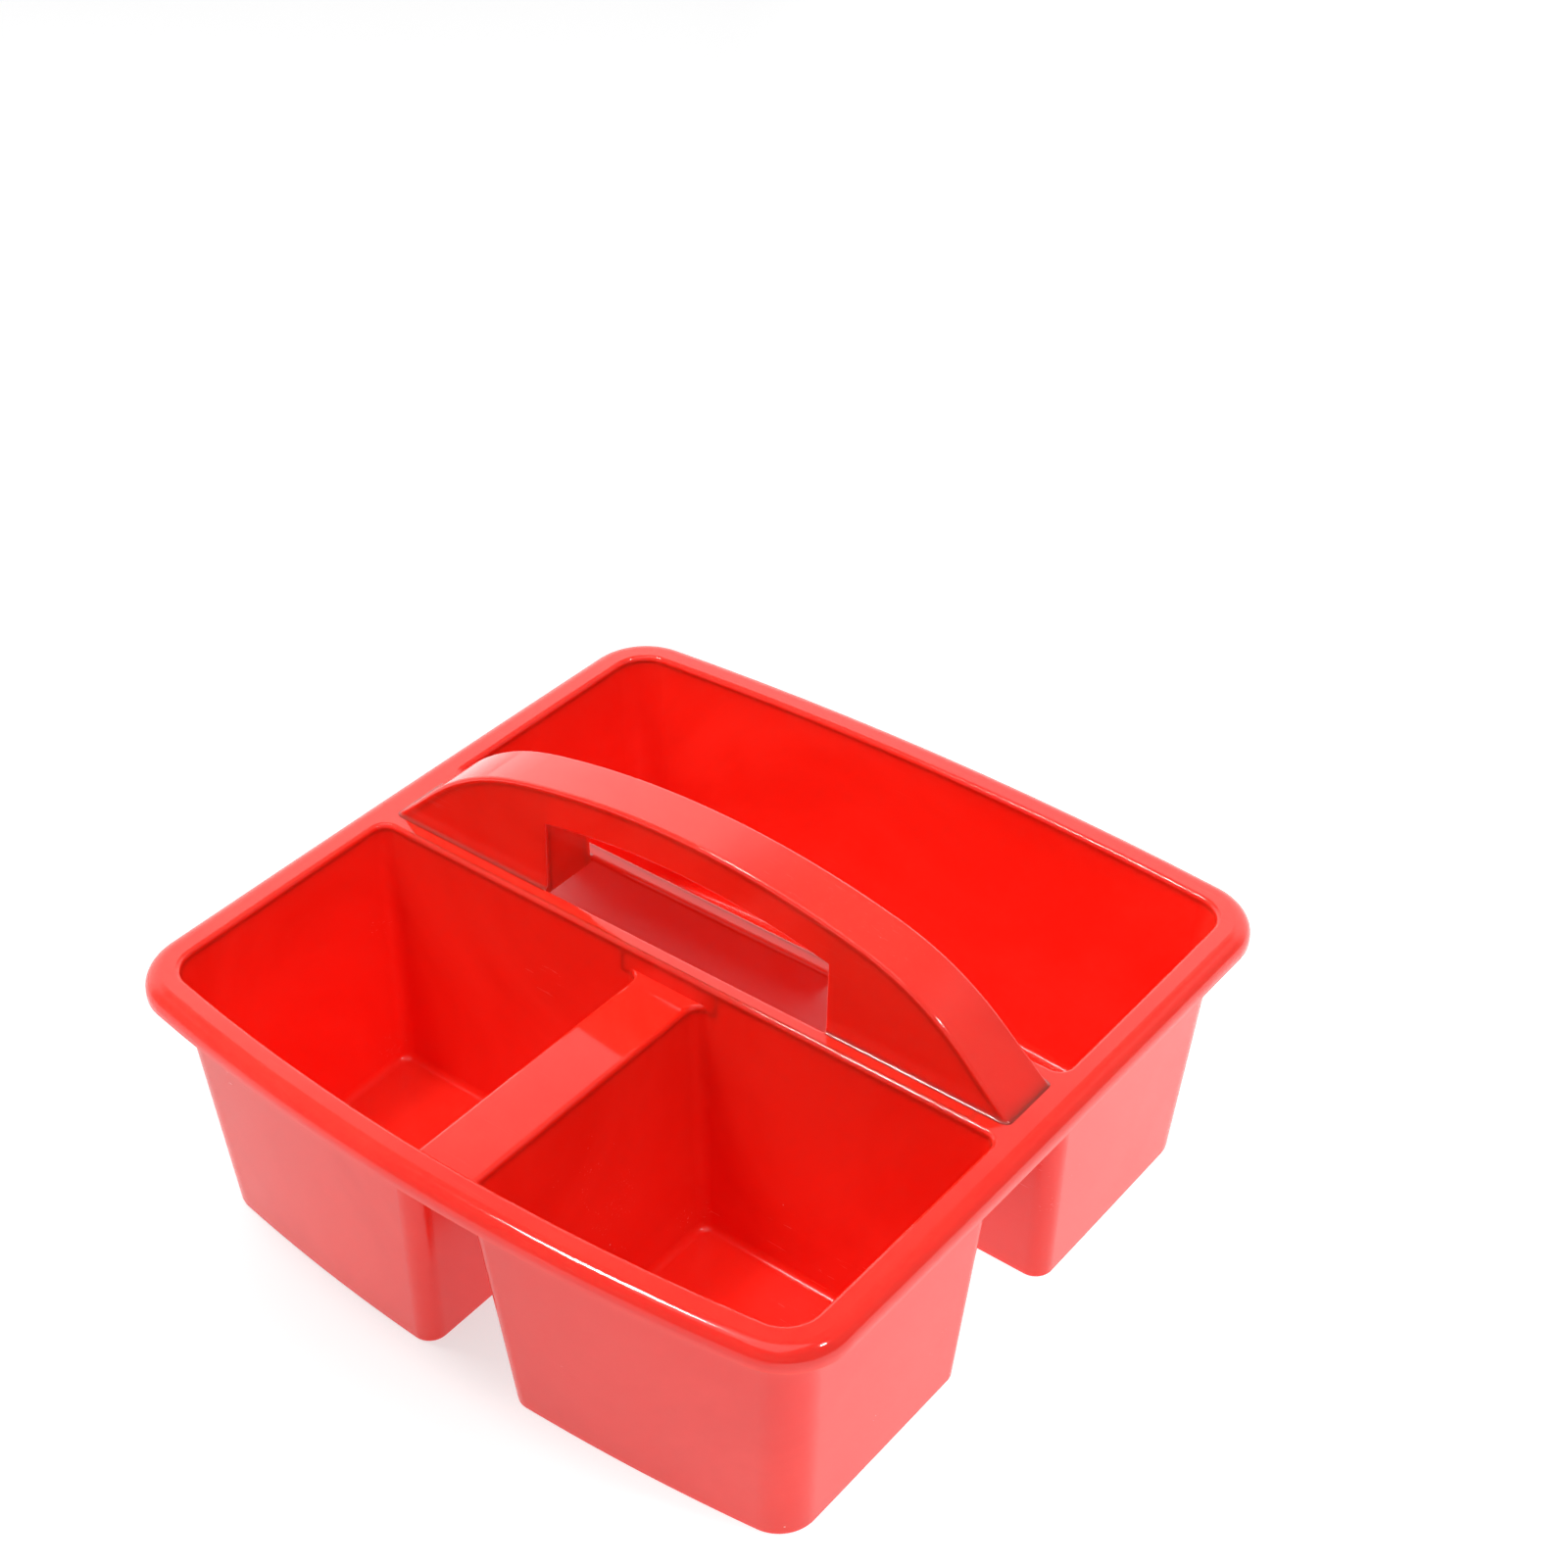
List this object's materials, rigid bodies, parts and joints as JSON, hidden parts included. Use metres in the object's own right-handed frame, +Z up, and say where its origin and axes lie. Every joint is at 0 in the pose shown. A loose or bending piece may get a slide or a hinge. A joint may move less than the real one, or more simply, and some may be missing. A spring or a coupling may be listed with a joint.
{
  "type": "art supply box",
  "caption": "Open art supply box with bowed front and back, three tapered pockets, a rolled rim and an arched carrying handle over the middle.",
  "frame": {"origin": "under the middle of the overall box, on the surface that the box stands on", "axes": "+Z up, +X along the handle, -Y towards the side with two pockets"},
  "size_m": [0.235, 0.2304, 0.1239],
  "materials": {
    "moulded_plastic": "glossy injection-moulded polypropylene"
  },
  "bodies": {
    "root": {"rim": "moulded_plastic", "front_ledge": "moulded_plastic", "rear_ledge": "moulded_plastic", "rear_cup": "moulded_plastic", "front_left_cup": "moulded_plastic", "front_right_cup": "moulded_plastic", "cup_divider": "moulded_plastic", "handle_front_wall": "moulded_plastic", "handle_rear_wall": "moulded_plastic", "handle_strap": "moulded_plastic", "left_hole_cheek": "moulded_plastic", "right_hole_cheek": "moulded_plastic"}
  },
  "joints": []
}
